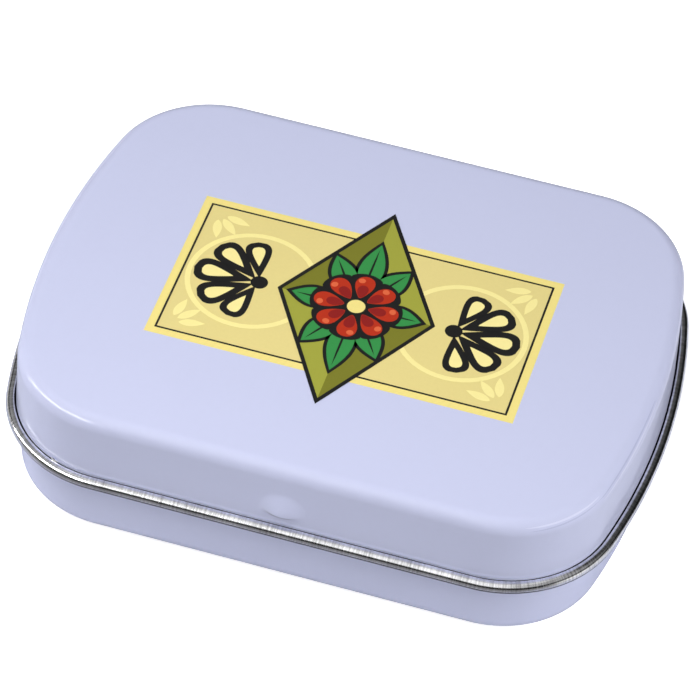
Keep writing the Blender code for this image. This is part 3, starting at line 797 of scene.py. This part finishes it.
# The studio: a small round white table, soft lamps at the sides and close above the front, which shade
# the lid from front to back, and a room that is white to the camera. In reflections the room is bright
# above the front and low at both sides, grey overhead, and dark low in front and behind, and the table
# is dark in front.
CAMERA_AZIMUTH, CAMERA_ELEVATION, CAMERA_ROLL = 0.2341, 0.8020, 0.0779
CAMERA_DISTANCE = 373.17 * MM
LENS, SHIFT_X, SHIFT_Y = 209.58, -0.0040, 0.0028
AIM = Vector((0, 0, 8.0 * MM))


def towards(azimuth, elevation):
    """The unit vector from the tin to this azimuth, counted from the front to the right, and elevation."""
    sin_a, cos_a, sin_e, cos_e = np.sin(azimuth), np.cos(azimuth), np.sin(elevation), np.cos(elevation)
    return Vector((sin_a * cos_e, -cos_a * cos_e, sin_e))


back = towards(CAMERA_AZIMUTH, CAMERA_ELEVATION)
level_right = towards(CAMERA_AZIMUTH + QUARTER_TURN, 0)
level_up = back.cross(level_right)
right_way = level_right * np.cos(CAMERA_ROLL) + level_up * np.sin(CAMERA_ROLL)
up_way = level_up * np.cos(CAMERA_ROLL) - level_right * np.sin(CAMERA_ROLL)
camera = bpy.data.objects.new("camera", bpy.data.cameras.new("camera"))
turn = Matrix((right_way, up_way, back)).transposed().to_4x4()
camera.matrix_world = Matrix.Translation(AIM + back * CAMERA_DISTANCE) @ turn
camera.data.sensor_width = 36.0
camera.data.lens = LENS
camera.data.shift_x = SHIFT_X
camera.data.shift_y = SHIFT_Y
camera.data.clip_start, camera.data.clip_end = 0.01, 100.0
bpy.context.scene.collection.objects.link(camera)
bpy.context.scene.camera = camera


def lamp(name, azimuth, elevation, distance, size, watts):
    """A square soft lamp that faces the tin from here, angles in degrees, and isn't mirrored in it."""
    way = towards(np.radians(azimuth), np.radians(elevation))
    data = bpy.data.lights.new(name, "AREA")
    data.size = size
    data.energy = watts
    made = bpy.data.objects.new(name, data)
    made.location = AIM + way * distance
    made.rotation_mode = "QUATERNION"
    made.rotation_quaternion = way.to_track_quat("Z", "Y")
    made.visible_glossy = False
    bpy.context.scene.collection.objects.link(made)
    return made


lamp("left_lamp", -95, 20, 0.45, 0.22, 1.36)
lamp("right_lamp", 95, 25, 0.45, 0.22, 1.18)
lamp("front_right_lamp", 50, 24, 0.45, 0.22, 0.35)
lamp("near_left_lamp", -60, 60, 0.22, 0.12, 0.10)
lamp("near_front_lamp", -10, 62, 0.16, 0.06, 0.082)
lamp("low_front_lamp", -5, 32, 0.16, 0.06, 0.033)

# A curved tube light, seen only in the tin's gloss: it draws the fine line along the lid's left-front
# corner. TUBE_WAY is its way round the tin, azimuth and elevation in degrees.
TUBE_REACH, TUBE_HALF_WIDTH, TUBE_GLOW = 0.40, 5.5, 14.0
TUBE_WAY = ((-88, 12), (-83, 20), (-76, 27), (-67, 32), (-53, 36), (-40, 39), (-29, 38), (-22, 35))
tube_corners = [
    TUBE_REACH * towards(np.radians(azimuth), np.radians(elevation + side * TUBE_HALF_WIDTH))
    for side in (-1, 1) for azimuth, elevation in TUBE_WAY
]
tube_steps = len(TUBE_WAY)
tube_faces = [(j, j + 1, tube_steps + j + 1, tube_steps + j) for j in range(tube_steps - 1)]
tube_mesh = bpy.data.meshes.new("tube_light")
tube_mesh.from_pydata([tuple(corner) for corner in tube_corners], [], tube_faces)
tube_glow = bpy.data.materials.new("tube_glow")
tube_glow.use_nodes = True
shader = tube_glow.node_tree.nodes["Principled BSDF"]
shader.inputs["Base Color"].default_value = (0, 0, 0, 1)
shader.inputs["Specular IOR Level"].default_value = 0.0
shader.inputs["Emission Color"].default_value = (1, 1, 1, 1)
shader.inputs["Emission Strength"].default_value = TUBE_GLOW
tube_mesh.materials.append(tube_glow)
tube = bpy.data.objects.new("tube_light", tube_mesh)
tube.visible_camera = tube.visible_diffuse = tube.visible_shadow = False
bpy.context.scene.collection.objects.link(tube)

# The table's reflection is paler behind the tin, and it glows a little in front and to the right.
TABLE_RADIUS, TABLE_DROP, TABLE_STEPS = 70 * MM, 0.02 * MM, 96
TABLE_WHITE = (0.80, 0.80, 0.80, 1)
MIRRORED_FRONT, MIRRORED_BACK = (0.115, 0.115, 0.13, 1), (0.56, 0.58, 0.68, 1)
BEHIND = {"From Min": -32 * MM, "From Max": -20 * MM}
BESIDE = {"From Min": 30 * MM, "From Max": 38 * MM, "To Max": 2.0}
CAMERA_GLOW, MIRRORED_GLOW = 0.70, 0.12
table_rim = disc(TABLE_RADIUS, TABLE_STEPS)
table_places = np.column_stack([table_rim, np.full(TABLE_STEPS, -TABLE_DROP)])
table_mesh = bpy.data.meshes.new("table")
table_mesh.from_pydata(table_places, [], [list(range(TABLE_STEPS))])
table = bpy.data.objects.new("table", table_mesh)
bpy.context.scene.collection.objects.link(table)
table_top = bpy.data.materials.new("table_top")
table_top.use_nodes = True
tree = table_top.node_tree
shader = tree.nodes["Principled BSDF"]
shader.inputs["Roughness"].default_value = 0.9
shader.inputs["Specular IOR Level"].default_value = 0.0
place = node(tree, "SeparateXYZ", {0: node(tree, "TexCoord").outputs["Object"]})
behind = node(tree, "MapRange", {"Value": place.outputs["Y"], **BEHIND}).outputs[0]
beside = node(tree, "MapRange", {"Value": place.outputs["X"], **BESIDE}).outputs[0]
shade = node(tree, "Mix", {0: behind, 6: MIRRORED_FRONT, 7: MIRRORED_BACK}, data_type="RGBA")
path = node(tree, "LightPath")
table_colour = {0: path.outputs["Is Glossy Ray"], 6: TABLE_WHITE, 7: shade.outputs[2]}
tree.links.new(node(tree, "Mix", table_colour, data_type="RGBA").outputs[2], shader.inputs["Base Color"])
ahead = node(tree, "Math", {0: 1.0, 1: behind}, operation="SUBTRACT").outputs[0]
ahead = node(tree, "Math", {0: ahead, 1: beside}, operation="MAXIMUM").outputs[0]
far_glow = node(tree, "Math", {0: path.outputs["Is Glossy Ray"], 1: ahead}, operation="MULTIPLY").outputs[0]
far_glow = node(tree, "Math", {0: far_glow, 1: MIRRORED_GLOW}, operation="MULTIPLY").outputs[0]
glow = {0: path.outputs["Is Camera Ray"], 1: CAMERA_GLOW, 2: far_glow}
glow = node(tree, "Math", glow, operation="MULTIPLY_ADD").outputs[0]
shader.inputs["Emission Color"].default_value = (1, 1, 1, 1)
tree.links.new(glow, shader.inputs["Emission Strength"])
table_mesh.materials.append(table_top)

# The room: HIGH is its light above, LOW that along the horizon, each round the tin and up.
world = bpy.data.worlds.new("studio")
world.use_nodes = True
bpy.context.scene.world = world
tree = world.node_tree
background = tree.nodes["Background"]
axes = node(tree, "SeparateXYZ", {0: node(tree, "TexCoord").outputs["Generated"]})
toward_viewer = node(tree, "Math", {0: axes.outputs["Y"], 1: -1.0}, operation="MULTIPLY").outputs[0]
azimuth = node(tree, "Math", {0: axes.outputs["X"], 1: toward_viewer}, operation="ARCTAN2").outputs[0]
share = node(tree, "Math", {0: azimuth, 1: 1 / (2 * np.pi), 2: 0.5}, operation="MULTIPLY_ADD").outputs[0]


def grey_ramp(place, stops):
    """A ramp of greys: each stop is a position and a level from 0 to 1."""
    ramp = node(tree, "ValToRGB", {"Fac": place})
    elements = ramp.color_ramp.elements
    for element, (position, level) in zip(elements, (stops[0], stops[-1])):
        element.position = position
        element.color = (level, level, level, 1)
    for position, level in stops[1:-1]:
        elements.new(position).color = (level, level, level, 1)
    return ramp.outputs[0]


def round_tin(*stops):
    """A ramp round the tin from stops of azimuth in degrees and level."""
    return grey_ramp(share, [(degrees / 360 + 0.5, level) for degrees, level in stops])


def between(*stops):
    """A ramp from the floor up from stops of the sine of the elevation and level."""
    return grey_ramp(axes.outputs["Z"], stops)


HIGH = round_tin(
    (-180, 0.10), (-135, 0.22), (-100, 0.35), (-42, 0.35), (-24, 1.0), (15, 1.0), (50, 0.38),
    (100, 0.30), (125, 0.05), (180, 0.08),
)
HIGH_BAND = between((0.42, 0.0), (0.52, 1.0), (0.88, 1.0), (0.96, 0.4))
LOW = round_tin(
    (-180, 0.08), (-110, 0.6), (-80, 0.3), (-50, 0.08), (50, 0.08), (72, 1.0), (100, 1.0),
    (118, 0.03), (180, 0.03),
)
LOW_BAND = between((0.08, 1.0), (0.20, 0.1), (0.42, 0.06), (0.52, 0.0))
EVERYWHERE = (1.0, 1.0, 1.0)
ZENITH_BAND = between((0.88, 0.0), (0.95, 0.55), (1.0, 0.55))
HIGH_LEVEL, ZENITH_LEVEL, LOW_LEVEL = 1.02, 1.0, 1.0
DIM, WHITE = (0.02, 0.02, 0.02, 1), (1, 1, 1, 1)
room = (0.0, 0.0, 0.0)
for across, up, level in (
    (HIGH, HIGH_BAND, HIGH_LEVEL), (EVERYWHERE, ZENITH_BAND, ZENITH_LEVEL), (LOW, LOW_BAND, LOW_LEVEL),
):
    lit = node(tree, "VectorMath", {0: across, 1: up}, operation="MULTIPLY").outputs[0]
    scaled = {0: lit, 1: (level, level, level), 2: room}
    room = node(tree, "VectorMath", scaled, operation="MULTIPLY_ADD").outputs[0]
path = node(tree, "LightPath")
mirrored = {0: path.outputs["Is Glossy Ray"], 6: DIM, 7: room}
mirrored = node(tree, "Mix", mirrored, data_type="RGBA").outputs[2]
shown = {0: path.outputs["Is Camera Ray"], 6: mirrored, 7: WHITE}
tree.links.new(node(tree, "Mix", shown, data_type="RGBA").outputs[2], background.inputs["Color"])
bpy.context.scene.view_settings.view_transform = "Standard"
